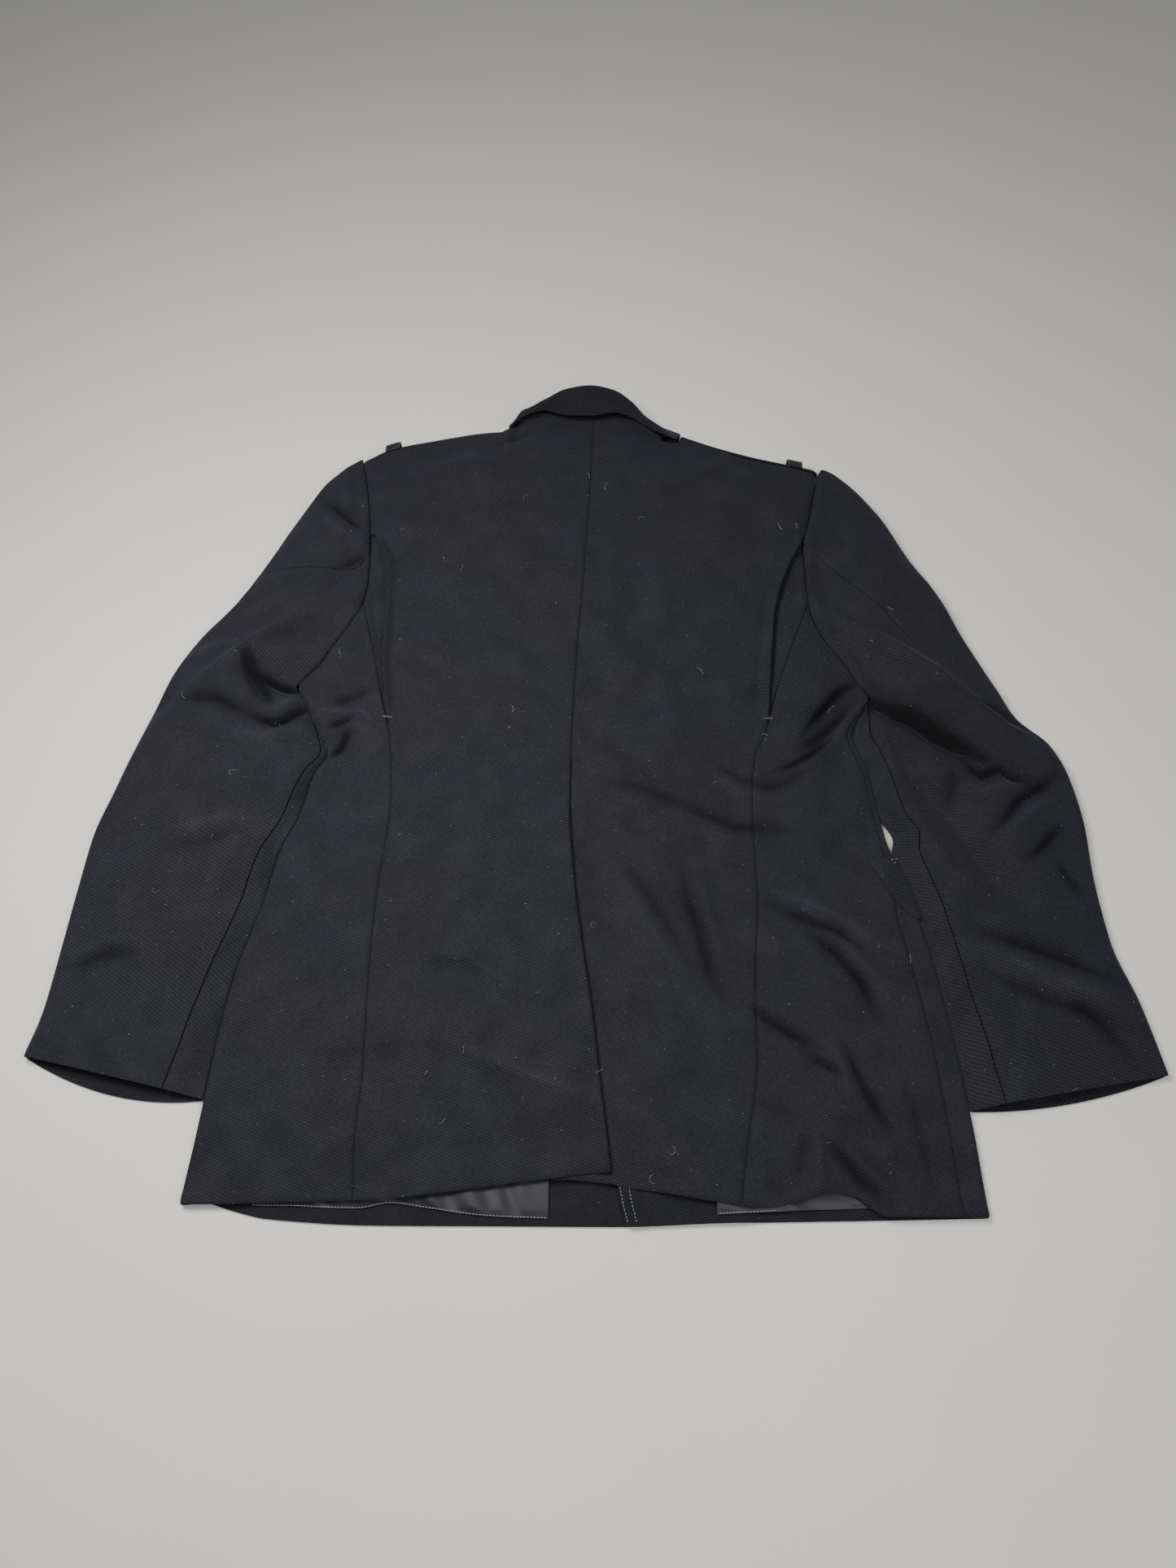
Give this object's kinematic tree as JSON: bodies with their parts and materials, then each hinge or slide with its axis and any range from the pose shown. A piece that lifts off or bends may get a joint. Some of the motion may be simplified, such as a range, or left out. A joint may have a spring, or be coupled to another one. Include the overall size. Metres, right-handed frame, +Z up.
{
  "type": "police dress tunic",
  "caption": "Dark wool dress tunic laid flat and face down, with a turn-down collar, a back vent, pleats at the armholes and hip pocket flaps.",
  "frame": {"origin": "centre of the bounding box on the surface that the tunic lies on", "axes": "+Z up from the surface to the garment's back, +Y from the hem to the collar, +X to the wearer's right"},
  "size_m": [0.9205, 0.8376, 0.0351],
  "materials": {
    "navy_serge": "near-black navy wool twill with a slight blue-grey sheen",
    "lining_satin": "dark grey satin lining with a soft shine",
    "loop_ribbon": "black ribbon with a satin shine",
    "button_metal": "plain polished metal"
  },
  "bodies": {
    "root": {"back_left": "navy_serge", "back_right": "navy_serge", "pleat_left": "navy_serge", "pleat_right": "navy_serge", "side_left": "navy_serge", "side_right": "navy_serge", "front_left": "navy_serge", "front_right": "navy_serge", "lapel_left": "navy_serge", "lapel_right": "navy_serge", "collar": "navy_serge", "sleeve_left_top": "navy_serge", "sleeve_left_under": "navy_serge", "sleeve_right_top": "navy_serge", "sleeve_right_under": "navy_serge", "loop_left": "loop_ribbon", "loop_right": "loop_ribbon", "flap_left": "navy_serge", "flap_right": "navy_serge", "lining_left": "lining_satin", "lining_right": "lining_satin", "button_1": "button_metal", "button_2": "button_metal", "button_3": "button_metal", "button_4": "button_metal"}
  },
  "joints": []
}
